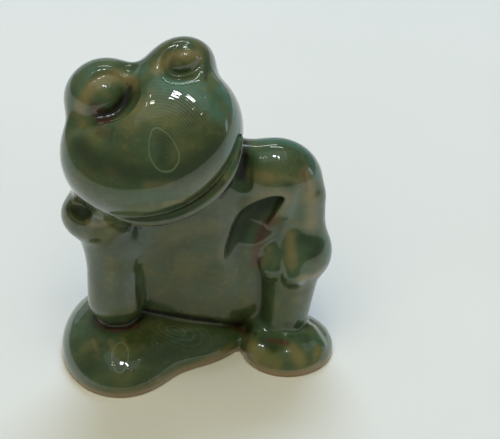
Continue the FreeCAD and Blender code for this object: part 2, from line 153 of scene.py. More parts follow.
def field(P):
    """(the whole figure, {member: its own field}), negative inside, in layout millimetres."""
    M = {}
    H = HEAD_TURN
    # seat: right leg folded flat, left foot, both cut by the ground
    M["right_leg"] = smin(
        ell(P, (-8.3, -2.3, 0.8), (7.1, 9.9, 4.3)),
        ell(P, (-1.5, -1.8, 0.6), (6.8, 5.0, 3.4), rot_z(14)), 4.5)
    foot = ell(P, (10.3, -2.9, 0.4), (5.2, 5.5, 2.9))
    toes = np.minimum(
        np.minimum(limb(P, (7.4, -2.4, 2.7), (6.9, -5.0, 1.5), 1.0, 1.2),
                   limb(P, (10.0, -4.6, 2.3), (10.2, -6.4, 1.6), 0.9, 1.25)),
        limb(P, (12.6, -3.2, 2.5), (13.4, -4.9, 1.6), 0.9, 1.15))
    M["left_foot"] = smin(foot, toes, 1.2)
    # raised left leg
    inner_side = (P[0] - 8.8) * -0.72 + (P[1] + 3.75) * -0.68 + (P[2] - 8.0) * 0.10
    M["left_shin"] = smax(smin(
        limb(P, (10.0, -1.9, 3.6), (11.2, -1.2, 10.8), 2.55, 2.8),
        limb(P, (8.6, -1.3, 4.2), (8.5, -1.0, 10.8), 2.7, 2.8), 1.0), inner_side, 0.5)
    M["left_thigh"] = smin(
        ell(P, (12.25, -1.1, 12.1), (2.95, 3.1, 3.0), rot_y(14) @ rot_x(-10)),
        ell(P, (10.0, 3.0, 9.0), (3.6, 6.0, 4.5)), 1.5)
    # trunk
    front = rbox(P, (-1.2, 1.2, 12.6), (7.1, 4.3, 10.6), 3.6)
    back = smin(ell(P, (-0.3, 3.2, 13.5), (9.2, 4.9, 12.0)), front, 1.2)
    back = smin(back, ell(P, (7.4, 2.2, 13.5), (4.2, 3.4, 9.0)), 1.5)
    back = smin(back, limb(P, (5.6, 0.2, 6.0), (5.9, 0.2, 13.5), 2.7, 2.6), 1.5)
    belly = ell(P, (-1.0, 0.6, 6.2), (6.6, 3.7, 4.2))
    M["torso"] = smin(smin(back, belly, 1.5), ell(P, (0, 3.4, 5.5), (11.3, 6.0, 6.3)), 2.5)
    # right arm propped on the folded leg, fist under the cheek
    M["right_arm"] = smin(
        limb(P, (-8.9, -3.1, 7.4), (-9.2, -2.4, 14.0), 3.2, 2.85),
        limb(P, (-9.2, -2.4, 14.0), (-10.6, -2.6, 18.0), 2.85, 2.9), 1.6)
    M["right_hand"] = ell(P, (-11.4, -2.9, 18.2), (3.15, 3.1, 2.6), rot_y(12))
    # left arm: rounded shoulder, down the side to the hand on the knee
    upper = smin(ell(P, (9.0, 0.5, 20.4), (5.1, 4.1, 5.0)),
                 limb(P, (4.5, 1.0, 22.0), (8.5, 0.4, 21.4), 3.2, 3.2), 2.0)
    upper = smin(upper, limb(P, (9.6, 0.5, 19.0), (9.1, 0.3, 12.5), 2.6, 2.4), 1.8)
    M["left_arm"] = smin(upper, limb(P, (12.3, -0.6, 19.0), (12.6, -0.9, 14.2), 2.1, 1.8), 1.5)
    M["left_hand"] = smin(
        smin(limb(P, (10.4, -1.0, 15.3), (10.8, -4.0, 10.9), 1.5, 1.1),
             limb(P, (8.6, -0.4, 14.2), (8.4, -3.2, 11.2), 1.4, 1.05), 0.8),
        sph(P, (11.2, -0.6, 15.0), 2.0), 1.6)
    # head: a broad low dome of a face on a round skull, its rim an oval
    rim = H @ rot_y(4.3)
    sides = ell(P, hd(0.26, 0.0, -0.22), (10.15, 18.0, 8.5), rim)
    face = ell(P, hd(0.2, 0.6, -1.6), (14.2, 7.9, 11.6), rim)
    nape = ell(P, hd(0.0, -1.0, 0.3), (10.6, 9.8, 9.4), H)
    M["head"] = smax(smax(sides, face, 4.2), nape, 1.5)
    # rolled lower lip along the bottom of the face, a tapering roll bent round an oval
    q = local(P, HEAD_AT, H)
    k0 = np.sqrt(((q[0] - 0.55) / 10.19) ** 2 + ((q[2] - 0.99) / 10.01) ** 2)
    k1 = np.sqrt(((q[0] - 0.55) / 10.19 ** 2) ** 2 + ((q[2] - 0.99) / 10.01 ** 2) ** 2) + 1e-6
    across = k0 * (k0 - 1) / k1
    roll = np.sqrt(across ** 2 + (q[1] + 2.75) ** 2) - 0.76 * (1 - ((q[0] - 1.0) / 8.3) ** 4)
    roll = roll + np.maximum(q[2] + 3.5, 0)
    M["lower_jaw"] = smin(roll, ell(P, hd(1.2, 1.6, -3.4), (7.4, 4.2, 5.0), rim), 1.6)
    # eyes: soft hooded domes, a ball nearly filling each shallow hollow
    socks, balls = [], []
    for side, dome, sock, ball in (
            ("right", ((-2.2, -0.9, 6.6), (4.3, 4.7, 3.9)), ((-1.3, -6.1, 5.0), (3.2, 2.4, 2.7)),
             ((-2.3, -3.7, 5.9), (2.5, 1.8, 2.1))),
            ("left", ((6.3, -1.2, 5.2), (4.0, 4.5, 3.3)), ((7.3, -5.9, 4.8), (2.5, 2.1, 1.8)),
             ((7.1, -3.9, 5.1), (1.9, 1.5, 1.5)))):
        lid = ell(P, hd(*dome[0]), dome[1], H)
        hollow = ell(P, hd(*sock[0]), sock[1], H @ rot_y(-8))
        M[side + "_eyelid"] = smax(lid, -hollow, 1.6)
        M[side + "_eyeball"] = ell(P, hd(*ball[0]), ball[1], H @ rot_y(-8))
        socks.append(hollow)
        balls.append(M[side + "_eyeball"])
    low = np.clip((P[2] - 7.5) / 5.0, 0, 1)
    F = None
    for name, k in ORDER:
        if name == "right_arm":
            k = 0.9 + 3.1 * low
        F = M[name] if F is None else smin(F, M[name], k)
    # the cheek runs down into the fist and forearm
    F = smin(F, smin(M["head"], smin(M["right_hand"], M["right_arm"], 1.6), 4.6), 0.3)
    # pocket on top of the fist
    F = smax(F, -ell(P, (-12.5, -5.9, 20.4), (1.5, 1.9, 1.1), rot_y(24)), 0.7)
    # leaf-shaped hollow between the chest and the left arm
    tilt = (P[0] - 6.5) * -0.20 + (P[1] + 1.80) * -0.90 + (P[2] - 16.3) * 0.37
    F = smin(F, smax(ell(P, (7.1, -0.9, 16.0), (2.8, 2.1, 4.1), rot_y(30)), tilt, 0.3), 0.4)
    chord = (P[0] - 7.3) * 0.89 - (P[2] - 15.6) * 0.455
    lens = smax(ell(P, (7.0, -2.0, 15.6), (2.9, 6.0, 6.0), rot_y(27)), chord, 0.8)
    F = smax(F, -smax(lens, -tilt, 0.4), 0.5)
    # fold between neck and shoulder
    F = smax(F, -limb(P, (5.2, -1.4, 25.6), (5.3, -2.8, 22.2), 1.1, 0.9), 0.9)
    # brown line beside the ridge of the arm, scoop under the right eye
    F = smax(F, -limb(P, (12.0, -3.6, 21.0), (11.2, -3.6, 18.2), 0.8, 0.7), 0.8)
    F = smax(F, -ell(P, hd(-5.6, -6.7, 4.9), (2.5, 2.6, 1.6), H @ rot_y(20)), 1.9)
    # dimple between the eyes
    F = smax(F, -ell(P, hd(1.7, -5.6, 7.4), (1.0, 1.9, 1.2), H), 1.4)
    for s in socks:
        F = smax(F, -s, 1.6)
    for b in balls:
        F = smin(F, b, 1.1)
    F = smax(F, -P[2], 0.3)
    return F, M


# ---- end shape ----


def whole(p):
    return field((p[:, 0], p[:, 1], p[:, 2]))[0]


def gradient(p, e=0.03):
    g = np.empty_like(p)
    for i in range(3):
        d = np.zeros(3, np.float32)
        d[i] = e
        g[:, i] = (whole(p + d) - whole(p - d)) / (2 * e)
    return g


def sculpt():
    """Samples the field on a grid and returns the vertices, normals and quads of its surface, each quad tagged
    with the members on its two sides, from which each member's closed mesh is cut.
    """
    lo = np.array([-16.4, -13.4, -0.7], np.float32)
    hi = np.array([16.6, 10.4, 39.4], np.float32)
    n = np.ceil((hi - lo) / STEP).astype(int)
    axes = [lo[i] + np.arange(n[i], dtype=np.float32) * np.float32(STEP) for i in range(3)]
    F = np.empty(n, np.float32)
    MS = np.empty((len(NAMES),) + tuple(n), np.float32)
    slab = 24
    for s in range(0, n[0], slab):
        P = np.meshgrid(axes[0][s:s + slab], axes[1], axes[2], indexing="ij")
        f, m = field(P)
        F[s:s + slab] = f
        for i, name in enumerate(NAMES):
            MS[i, s:s + slab] = m[name]
    label = np.where(F < 0, MS.argmin(0) + 1, 0).astype(np.int16)
    # a lone grid cell joins the member beside it
    core = label[1:-1, 1:-1, 1:-1]
    near = np.stack([label[:-2, 1:-1, 1:-1], label[2:, 1:-1, 1:-1], label[1:-1, :-2, 1:-1],
                     label[1:-1, 2:, 1:-1], label[1:-1, 1:-1, :-2], label[1:-1, 1:-1, 2:]])
    lone = (core > 0) & (near != core).all(0)
    core[lone] = near.max(0)[lone]
    cells = tuple(n - 1)
    flat = lambda i, j, k: (i * cells[1] + j) * cells[2] + k
    so, co, si, ci, quads, tags = [], [], [], [], [], []
    rows = {"outer": [], "inner": []}
    for ax in range(3):
        a_sl = [slice(None)] * 3
        b_sl = [slice(None)] * 3
        a_sl[ax], b_sl[ax] = slice(0, -1), slice(1, None)
        la, lb = label[tuple(a_sl)], label[tuple(b_sl)]
        e = np.nonzero(la != lb)
        A, B = la[e], lb[e]
        ea = list(e)
        eb = list(e)
        eb[ax] = eb[ax] + 1
        outer = (A == 0) | (B == 0)
        fa, fb = F[tuple(ea)], F[tuple(eb)]
        ia, ib = np.maximum(A - 1, 0), np.maximum(B - 1, 0)
        da = MS[(ia, *ea)] - MS[(ib, *ea)]
        db = MS[(ia, *eb)] - MS[(ib, *eb)]
        da, db = np.where(outer, fa, da), np.where(outer, fb, db)
        t = np.clip(da / np.where(np.abs(da - db) < 1e-9, 1e-9, da - db), 0.02, 0.98)
        pos = np.stack(e, 1).astype(np.float64)
        pos[:, ax] += t
        u, v = (ax + 1) % 3, (ax + 2) % 3
        ring = []
        for du, dv in ((0, 0), (-1, 0), (-1, -1), (0, -1)):
            c = [x.copy() for x in e]
            c[u] = c[u] + du
            c[v] = c[v] + dv
            ring.append(flat(*c))
            rows["outer"].append((ring[-1][outer], pos[outer]))
            rows["inner"].append((ring[-1][~outer], pos[~outer]))
        quads.append(np.stack(ring, 1))
        tags.append(np.stack([A, B], 1))
    quads, tags = np.concatenate(quads), np.concatenate(tags)
    used, quads = np.unique(quads, return_inverse=True)
    quads = quads.reshape(-1, 4)

    def mean(kind):
        idx = np.searchsorted(used, np.concatenate([r[0] for r in rows[kind]]))
        pos = np.concatenate([r[1] for r in rows[kind]])
        cnt = np.bincount(idx, minlength=len(used)).astype(float)
        tot = np.stack([np.bincount(idx, pos[:, i], len(used)) for i in range(3)], 1)
        return tot / np.maximum(cnt, 1)[:, None], cnt

    mo, no = mean("outer")
    mi, ni = mean("inner")
    both = (no > 0) & (ni > 0)
    p = np.where((no > 0)[:, None], mo, mi)
    p[both] = 0.5 * (mo[both] + mi[both])
    p = (lo + p * STEP).astype(np.float32)
    skin = no > 0
    q = p[skin]
    for _ in range(3):
        g = gradient(q)
        step = (whole(q) / np.maximum((g * g).sum(1), 0.05))[:, None] * g
        q = q - np.clip(step, -0.6 * STEP, 0.6 * STEP)
    p[skin] = q
    normal = np.zeros_like(p)
    g = gradient(q, 0.05)
    normal[skin] = g / np.maximum(np.linalg.norm(g, axis=1, keepdims=True), 1e-6)
    return p, normal, skin, quads, tags


points, normals, skin, quads, tags = sculpt()

# ---- how the glaze lies: thick in hollows, thin on edges, with stains and painted shade in the creases ----
sk = points[skin]
sn = normals[skin]


def bend(d):
    """Curvature over a reach of d mm: above 0 on an edge, below 0 in a crease."""
    return (whole(sk + sn * d) + whole(sk - sn * d)) / d


fine, broad = bend(0.45), bend(1.3)


def spot(x, y, z, r, soft=1.0):
    d = np.sqrt(((sk - np.array([x, y, z], np.float32)) ** 2).sum(1)) / r
    return np.exp(-(d ** 2) * soft)


thin = np.clip(np.maximum(fine * 1.1, broad * 0.9) - 0.12, 0, 1)
pool = np.clip(-fine * 1.6 - 0.15, 0, 1)
deep = np.clip(-broad * 1.2 - 0.1, 0, 1)


def skin_attr(values):
    out = np.zeros(len(points), np.float32)
    out[skin] = values
    return out




def head_frame(p):
    """Coordinates in the head's own frame."""
    return (p - HEAD_AT.astype(np.float32)) @ HEAD_TURN.astype(np.float32)


# stains in the glaze, and painted shade: the dark and the black strokes are mostly painted shade in hollows
# and creases and painted dark reflections on up-facing tops, the rest are stains. Entries: [points], radius in
# layout mm, strength
# ---- stains and painted shade ----
STAINS_AND_SHADE = {
    "tan": [
        ([(-11.8, -3.4, 31.9), (-10.9, -3.1, 33.6), (-9.4, -2.2, 34.6), (-7.6, -1.3, 34.6), (-6.0, -2.4, 34.3)], 0.88, 0.95),
        ([(-3.7, -2.1, 35.9), (-2.3, -1.0, 36.6), (-0.6, -1.2, 37.1), (0.7, -0.8, 36.5)], 0.83, 0.90),
        ([(-2.8, -1.3, 36.0), (-1.5, -1.7, 36.4)], 0.55, 0.60),
        ([(-4.1, -11.2, 24.9)], 0.55, 0.40),
        ([(-2.7, -10.9, 24.7), (-1.0, -10.3, 24.7)], 0.55, 0.65),
        ([(-4.5, -11.1, 27.1), (-2.2, -10.9, 27.2)], 0.66, 0.40),
        ([(12.1, -2.1, 22.7), (12.8, -2.5, 20.1), (12.8, -2.6, 16.8)], 0.99, 0.85),
        ([(7.4, -3.0, 22.7), (9.8, -2.9, 23.1), (11.5, -2.7, 22.3)], 0.61, 0.45),
        ([(-11.4, -6.0, 19.3), (-10.1, -6.1, 19.0), (-8.8, -6.4, 19.5)], 0.44, 0.80),
        ([(10.4, -3.0, 15.5), (10.7, -4.4, 12.6)], 0.83, 0.65),
        ([(8.1, -2.8, 13.6), (7.6, -3.4, 12.0)], 0.77, 0.50),
        ([(11.6, -4.8, 11.0), (13.2, -3.8, 10.7), (14.2, -3.3, 11.3)], 0.61, 0.90),
        ([(5.8, -3.8, 2.1), (6.7, -6.5, 1.6)], 0.88, 0.80),
        ([(10.8, -6.6, 2.8), (11.7, -7.6, 1.6)], 0.88, 0.65),
        ([(13.7, -6.0, 2.1), (13.5, -6.8, 1.3)], 0.66, 0.50),
        ([(6.1, -6.1, 0.4), (8.3, -8.0, 0.5), (11.7, -8.2, 0.6), (13.9, -6.7, 0.7)], 0.44, 0.80),
        ([(-11.5, -6.8, 4.1), (-10.9, -8.3, 3.8)], 0.44, 0.50),
        ([(-9.5, -7.4, 4.4), (-9.0, -8.9, 4.0)], 0.44, 0.55),
        ([(-8.2, -7.2, 4.5), (-7.5, -8.4, 4.1)], 0.44, 0.45),
        ([(-13.5, -9.4, -0.3), (-10.6, -11.5, 0.1), (-7.2, -12.0, 0.8), (-3.9, -10.1, 1.0), (-0.7, -7.1, 0.5), (2.1, -5.6, 1.0), (4.0, -3.9, 1.2)], 0.55, 0.60),
        ([(-8.6, -9.7, 28.3), (-7.6, -10.5, 27.4)], 0.99, 0.20),
        ([(-5.4, -5.5, 33.6), (-6.4, -7.4, 31.8)], 1.32, 0.42),
        ([(-11.3, -4.7, 30.6), (-10.0, -7.5, 30.4)], 0.99, 0.30),
        ([(-12.1, -3.3, 31.4), (-11.4, -4.8, 30.5)], 0.88, 0.45),
        ([(5.8, -1.6, 22.9), (8.2, -3.0, 23.1)], 0.83, 0.65),
        ([(-4.0, -3.2, 8.1)], 1.32, 0.30),
        ([(0.5, -3.1, 12.1)], 1.54, 0.25),
    ],
    "rust": [
        ([(-10.1, -4.0, 32.0), (-9.3, -4.4, 31.2), (-8.8, -5.2, 31.2)], 0.88, 0.90),
        ([(-9.2, -5.9, 31.4), (-9.5, -7.1, 31.1)], 0.66, 0.50),
        ([(-10.0, -4.0, 32.5)], 0.55, 0.80),
        ([(-9.2, -5.0, 31.1), (-8.8, -7.5, 31.1)], 0.66, 0.50),
        ([(8.7, -2.8, 18.2), (7.8, -2.2, 16.0), (6.9, -2.6, 13.9), (6.7, -2.4, 11.6)], 0.77, 0.90),
        ([(-11.1, -4.3, 4.7), (-9.0, -6.0, 4.7), (-6.6, -5.2, 4.9)], 0.44, 0.80),
        ([(8.3, -5.2, 2.8), (10.1, -6.0, 3.1)], 0.50, 0.80),
        ([(4.2, -1.8, 2.5), (5.5, -1.9, 1.7)], 0.55, 0.80),
        ([(11.8, -2.1, 23.0), (12.1, -2.5, 21.2)], 0.44, 0.60),
        ([(-10.3, -6.2, 18.6)], 0.33, 0.50),
        ([(-8.1, -4.9, 16.6)], 0.33, 0.60),
        ([(5.6, 1.0, 25.1), (5.7, -1.0, 24.1)], 0.44, 0.60),
        ([(-4.0, -3.2, 7.3), (-2.4, -3.4, 7.1)], 1.10, 0.35),
        ([(5.4, -1.2, 23.4)], 0.55, 0.60),
        ([(-2.5, -10.8, 24.6), (-1.2, -10.4, 24.6)], 0.44, 0.30),
        ([(-4.3, -11.1, 26.9), (-2.4, -10.9, 26.9)], 0.44, 0.35),
        ([(-8.4, -8.3, 30.2)], 0.66, 0.40),
    ],
    # black strokes: partly dark glaze in the tightest creases, partly painted shade (the chest-leg crease, the
    # fist pocket, the crease under each eye)
    "black_crease_and_shade": [
        ([(-7.2, -4.2, 17.5), (-6.0, -3.2, 16.7), (-4.0, -10.5, 21.7), (-3.0, -10.6, 22.0), (-0.6, -10.3, 22.6), (1.5, -9.5, 23.4), (2.9, -3.0, 20.5), (4.0, -2.4, 22.1), (4.7, -7.1, 27.0), (5.1, -6.2, 28.2), (5.3, 1.5, 25.1)], 0.26, 0.95),
        ([(-5.5, -3.1, 5.4), (-1.8, -3.3, 4.9), (1.5, -3.1, 4.2), (4.9, -1.3, 2.3)], 0.46, 0.90),
        ([(-9.7, -4.2, 31.3), (-8.3, -3.6, 31.7), (-7.0, -2.7, 32.6)], 0.72, 0.80),
        ([(-8.0, -3.3, 32.1)], 0.66, 0.45),
        ([(-8.4, -7.9, 30.7), (-8.1, -7.1, 31.6)], 0.33, 0.40),
        ([(1.5, -1.1, 35.4), (1.4, -2.9, 35.0)], 0.33, 0.55),
        ([(5.3, 0.8, 25.1), (5.6, -0.8, 24.2), (5.1, -1.7, 22.4)], 0.61, 0.85),
        ([(-6.4, -3.9, 15.5), (-5.9, -3.7, 14.8)], 0.18, 0.60),
        ([(-11.6, -2.9, 4.6), (-9.9, -5.5, 4.8), (-7.6, -5.7, 4.8), (-6.1, -3.9, 5.0)], 0.26, 0.70),
        ([(5.6, -1.8, 1.8), (6.7, -4.2, 3.0)], 0.28, 0.60),
        ([(-13.9, -4.1, 19.8), (-12.8, -4.7, 19.5)], 0.44, 0.50),
        ([(-7.0, -2.5, 32.8), (-6.5, -2.2, 33.7)], 0.44, 0.60),
        ([(1.0, -2.4, 35.2), (0.0, -3.0, 35.2)], 0.26, 0.40),
    ],
    "moss": [
        ([(3.2, -3.3, 33.8), (4.5, -4.4, 31.7), (4.7, -5.4, 29.9), (3.8, -7.3, 29.1)], 1.10, 0.85),
        ([(-2.8, -3.9, 35.0), (0.3, -4.6, 34.5), (2.9, -6.1, 32.5)], 1.32, 0.70),
        ([(-11.9, -2.8, 33.5), (-10.6, -1.2, 35.3)], 0.66, 0.60),
        ([(-5.1, -1.7, 35.5)], 0.88, 0.60),
        ([(-2.8, -3.2, 35.3), (1.4, -3.6, 34.8)], 0.33, 0.80),
        ([(7.4, 1.2, 25.3), (9.9, 0.7, 25.3), (12.2, 0.3, 24.3), (13.4, -1.0, 22.2)], 0.99, 0.75),
        ([(-15.7, -2.1, 1.3), (-15.2, -5.9, 0.3), (-13.4, -9.2, 0.0)], 0.66, 0.50),
        ([(14.2, -2.3, 14.7), (14.8, -2.6, 12.3)], 0.66, 0.90),
        ([(14.6, -3.1, 2.0), (15.3, -4.2, 0.7)], 0.44, 0.80),
        ([(-4.5, 1.3, 36.1), (-0.3, 0.6, 37.6)], 0.66, 0.50),
        ([(-3.2, -9.3, 30.3)], 1.54, 0.40),
        ([(0.4, -4.1, 3.4), (-2.9, -6.3, 3.7)], 1.10, 0.40),
    ],
    # dark strokes: mostly painted shade in hollows and creases (the trough under the right eye, the groove
    # between the chest and the left arm, inside the left shin, the ankle, under the chin) and painted dark
    # reflections on up-facing tops (the knee, the fist), partly darker glaze
    "shade_and_dark_glaze": [
        ([(10.2, -3.3, 21.9), (7.7, -1.1, 18.3), (5.5, -1.6, 16.0), (4.5, -2.4, 12.6)], 0.88, 0.90),
        ([(-11.7, -7.3, 29.5), (-9.9, -9.0, 28.7), (-6.8, -10.2, 28.2), (-2.7, -10.7, 28.0), (0.7, -9.8, 28.6), (2.7, -8.3, 29.7)], 1.54, 0.85),
        ([(-2.9, -8.5, 31.2), (-2.9, -10.0, 29.3)], 1.21, 0.75),
        ([(-13.2, -4.5, 19.8), (-11.7, -4.8, 19.6)], 0.77, 0.80),
        ([(11.9, -3.1, 15.3), (13.6, -3.0, 14.4), (13.1, -3.8, 13.4)], 1.10, 0.85),
        ([(10.3, -4.9, 10.9), (10.8, -4.7, 10.0)], 0.55, 0.70),
        ([(9.4, -2.6, 16.5), (9.0, -2.6, 14.7)], 0.77, 0.70),
        ([(7.4, -2.4, 9.8), (7.4, -2.9, 4.3)], 1.10, 0.85),
        ([(10.3, -4.4, 4.5), (12.4, -3.4, 3.5)], 0.66, 0.70),
        ([(-6.5, -4.7, 9.7), (-6.3, -5.0, 7.4)], 0.55, 0.70),
        ([(-11.0, -5.0, 13.0), (-10.6, -5.7, 8.8)], 1.21, 0.50),
        ([(-8.5, -5.9, 9.6)], 1.32, 0.50),
        ([(-1.8, -3.3, 7.1)], 1.76, 0.40),
        ([(-9.4, -11.8, 1.6)], 1.76, 0.40),
        ([(-12.2, -9.7, 2.3), (-8.3, -10.6, 3.1), (-4.0, -8.4, 3.1), (0.4, -5.2, 2.9)], 1.32, 0.60),
        ([(7.4, -5.1, 2.8), (8.8, -6.4, 2.5)], 0.72, 0.80),
        ([(12.4, -4.7, 2.9), (12.7, -5.8, 2.5)], 0.55, 0.75),
        ([(-7.0, -10.1, 22.2), (-4.4, -10.6, 22.4), (-1.7, -10.5, 22.9), (0.8, -9.7, 24.2), (3.1, -8.6, 25.9)], 0.50, 0.85),
        ([(-5.2, -3.1, 6.5), (-1.8, -3.4, 6.0), (2.7, -3.2, 5.3)], 0.55, 0.50),
        ([(-6.3, -2.3, 33.7), (-6.9, -2.8, 32.4), (-8.4, -3.8, 31.4), (-9.7, -5.6, 31.2)], 0.99, 0.85),
        ([(0.8, -1.6, 35.4), (1.4, -0.7, 35.7)], 0.66, 0.60),
        ([(9.2, -4.0, 11.9), (8.9, -4.2, 10.9)], 0.44, 0.70),
    ],
    "olive": [
        ([(-9.1, -3.4, 33.6)], 0.77, 0.50),
        ([(-0.0, -1.6, 36.1)], 0.66, 0.85),
        ([(-0.6, -3.1, 11.3)], 2.42, 0.50),
        ([(-3.3, -3.1, 13.7)], 1.54, 0.40),
        ([(-9.3, -5.5, 14.0), (-9.4, -5.8, 10.2)], 0.99, 0.50),
        ([(11.2, -4.1, 7.6)], 1.10, 0.60),
        ([(-10.7, -7.0, 4.3), (-12.3, -7.7, 3.4)], 0.88, 0.50),
        ([(6.6, -5.8, 2.2), (8.9, -7.6, 1.6)], 1.21, 0.85),
        ([(11.4, -7.2, 2.2)], 1.21, 0.85),
        ([(3.3, -2.9, 14.9)], 1.32, 0.30),
        ([(13.8, -6.1, 1.9)], 0.99, 0.90),
        # this broad olive patch on the middle of the face is partly glaze colour, partly a painted sheen that
        # lightens the face
        ([(-4.3, -6.4, 33.1), (-2.2, -7.0, 32.7)], 1.76, 0.75),
        ([(-9.1, -5.6, 17.8)], 1.32, 0.65),
        ([(-3.3, -3.0, 15.3), (2.2, -3.0, 17.0)], 1.54, 0.65),
    ],
}
# ---- end stains and painted shade ----


def stain_and_shade(kind):
    out = np.zeros(len(sk), np.float32)
    for points_, r, w in STAINS_AND_SHADE[kind]:
        d = sph(sk.T, points_[0], 0.0)
        for p, q in zip(points_[:-1], points_[1:]):
            d = np.minimum(d, np.maximum(limb(sk.T, p, q, 1e-3, 1e-3), 0))
        out = np.maximum(out, w * np.exp(-(d / r) ** 2))
    return out


hf = head_frame(sk)
members = field(sk.T)[1]
on_lip = np.exp(-(np.maximum(members["lower_jaw"], 0) / 0.3) ** 2)
on_lip[members["lower_jaw"] > 0.9] = 0
thin = thin * (1 - 0.9 * on_lip)
near = lambda c, r: np.exp(-(((sk - np.array(c, np.float32)) / np.array(r, np.float32)) ** 2).sum(1))
# ripples left by the mould: around the snout, and on top of the folded leg
seat = np.sqrt(((sk[:, 0] + 2.3) / 2.2) ** 2 + (sk[:, 1] + 4.9) ** 2)
on_face = np.exp(-(((hf[:, 0] - 5.0) / 3.9) ** 2 + ((hf[:, 2] - 0.9) / 3.4) ** 2)) * (hf[:, 1] < -1)
on_seat = near((-2.3, -4.9, 3.8), (3.6, 1.5, 2.0))
use_seat = sk[:, 2] < 8
# long ovals drawn on the snout and on the folded leg
c, s_ = math.cos(math.radians(7)), math.sin(math.radians(7))
u, v = hf[:, 0] - 1.0, hf[:, 2] + 2.9
egg = 1.42 - 0.17 * (u * s_ + v * c)
oval = (np.sqrt(((u * c - v * s_) / egg) ** 2 + ((u * s_ + v * c) / 2.35) ** 2) - 1) * 1.6
oval_leg = (np.sqrt(((sk[:, 0] + 8.3) / 0.95) ** 2 + ((sk[:, 1] + 9.4) / 1.75) ** 2) - 1) * 1.1
ring = np.where(use_seat, oval_leg, np.where(hf[:, 1] < -1, oval, 2.0))
onion = np.sqrt((u * c - v * s_) ** 2 + ((u * s_ + v * c) / 1.25) ** 2)
phase = np.where(use_seat, seat / 0.42, onion / 0.30)
lines = np.where(use_seat, on_seat, on_face)

fields = {
    "thin": skin_attr(thin),
    "pool": skin_attr(pool),
    "deep": skin_attr(deep),
    "rust": skin_attr(stain_and_shade("rust")),
    "tan": skin_attr(stain_and_shade("tan")),
    "moss": skin_attr(stain_and_shade("moss")),
    "black_crease_and_shade": skin_attr(stain_and_shade("black_crease_and_shade")),
    "shade_and_dark_glaze": skin_attr(stain_and_shade("shade_and_dark_glaze")),
    "olive": skin_attr(stain_and_shade("olive")),
    "phase": skin_attr(phase),
    "lines": skin_attr(lines),
    "ring": skin_attr(np.clip(ring, -2, 2)),
}

# ---- members as closed meshes ----
BODY = "root"
real = ((points * SCALE + np.array(SHIFT)) / 1000.0).astype(np.float32)


def member(name, index, materials):
    front = tags[:, 0] == index
    behind = tags[:, 1] == index
    q = np.concatenate([quads[front], quads[behind][:, ::-1]])
    other = np.concatenate([tags[front, 1], tags[behind, 0]])
    used, inv = np.unique(q, return_inverse=True)
    inv = inv.reshape(-1, 4)
    co = real[used]
    mesh = bpy.data.meshes.new(name)
    mesh.vertices.add(len(used))
    mesh.vertices.foreach_set("co", co.ravel())
    mesh.loops.add(len(q) * 4)
    mesh.loops.foreach_set("vertex_index", inv.ravel().astype(np.int32))
    mesh.polygons.add(len(q))
    mesh.polygons.foreach_set("loop_start", np.arange(0, len(q) * 4, 4, dtype=np.int32))
    mesh.polygons.foreach_set("use_smooth", np.ones(len(q), bool))
    a, b, c, d = (co[inv[:, i]] for i in range(4))
    flat = np.cross(c - a, d - b)
    flat /= np.maximum(np.linalg.norm(flat, axis=1, keepdims=True), 1e-12)
    loops = np.repeat(flat[:, None, :], 4, axis=1)
    out = other == 0
    loops[out] = normals[used][inv[out]]
    low = np.stack([a, b, c, d], 1)[:, :, 2].mean(1)
    bare = out & ((low < 0.00022) | (flat[:, 2] < -0.8) & (low < 0.0006))
    mesh.polygons.foreach_set("material_index", bare.astype(np.int32))
    mesh.update(calc_edges=True)
    mesh.validate(verbose=False)
    mesh.normals_split_custom_set(loops.reshape(-1, 3))
    for key, values in fields.items():
        mesh.attributes.new(key, "FLOAT", "POINT").data.foreach_set("value", values[used])
    for m in materials:
        mesh.materials.append(m)
    o = bpy.data.objects.new("frog_" + name, mesh)
    bpy.context.scene.collection.objects.link(o)
    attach(o, BODY)
    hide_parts(name)
    return o


# ---- materials ----
class Graph:
    def __init__(self, name):
        self.mat = bpy.data.materials.new(name)
        self.mat.use_nodes = True
        self.t = self.mat.node_tree
        self.t.nodes.clear()
        self.pos = self.n("ShaderNodeTexCoord").outputs["Object"]

    def n(self, kind, **props):
        node = self.t.nodes.new(kind)
        for k, v in props.items():
            setattr(node, k, v)
        return node

    def put(self, value, socket):
        if isinstance(value, bpy.types.NodeSocket):
            self.t.links.new(value, socket)
        else:
            socket.default_value = value

    def math(self, op, a, b=0.0, c=None, clamp=False):
        m = self.n("ShaderNodeMath", operation=op, use_clamp=clamp)
        self.put(a, m.inputs[0])
        self.put(b, m.inputs[1])
        if c is not None:
            self.put(c, m.inputs[2])
        return m.outputs[0]

    def noise(self, mm, detail=3.0, rough=0.5, distort=0.0, seed=0.0, stretch=None):
        """Noise with features about mm millimetres across."""
        v = self.n("ShaderNodeMapping")
        self.t.links.new(self.pos, v.inputs["Vector"])
        v.inputs["Location"].default_value = (seed, seed * 0.7, -seed)
        v.inputs["Scale"].default_value = stretch or (1, 1, 1)
        x = self.n("ShaderNodeTexNoise")
        self.t.links.new(v.outputs[0], x.inputs["Vector"])
        x.inputs["Scale"].default_value = 1000.0 / mm
        x.inputs["Detail"].default_value = detail
        x.inputs["Roughness"].default_value = rough
        x.inputs["Distortion"].default_value = distort
        return x.outputs["Fac"]

    def attr(self, name):
        return self.n("ShaderNodeAttribute", attribute_name=name).outputs["Fac"]

    def band(self, value, lo, hi, out_lo=0.0, out_hi=1.0):
        m = self.n("ShaderNodeMapRange", interpolation_type="SMOOTHSTEP")
        self.put(value, m.inputs["Value"])
        m.inputs["From Min"].default_value = lo
        m.inputs["From Max"].default_value = hi
        m.inputs["To Min"].default_value = out_lo
        m.inputs["To Max"].default_value = out_hi
        return m.outputs["Result"]

    def mix(self, fac, a, b):
        m = self.n("ShaderNodeMix", data_type="RGBA")
        self.put(fac, m.inputs[0])
        for value, socket in ((a, m.inputs[6]), (b, m.inputs[7])):
            if isinstance(value, bpy.types.NodeSocket):
                self.t.links.new(value, socket)
            else:
                socket.default_value = (*value, 1.0)
        return m.outputs[2]


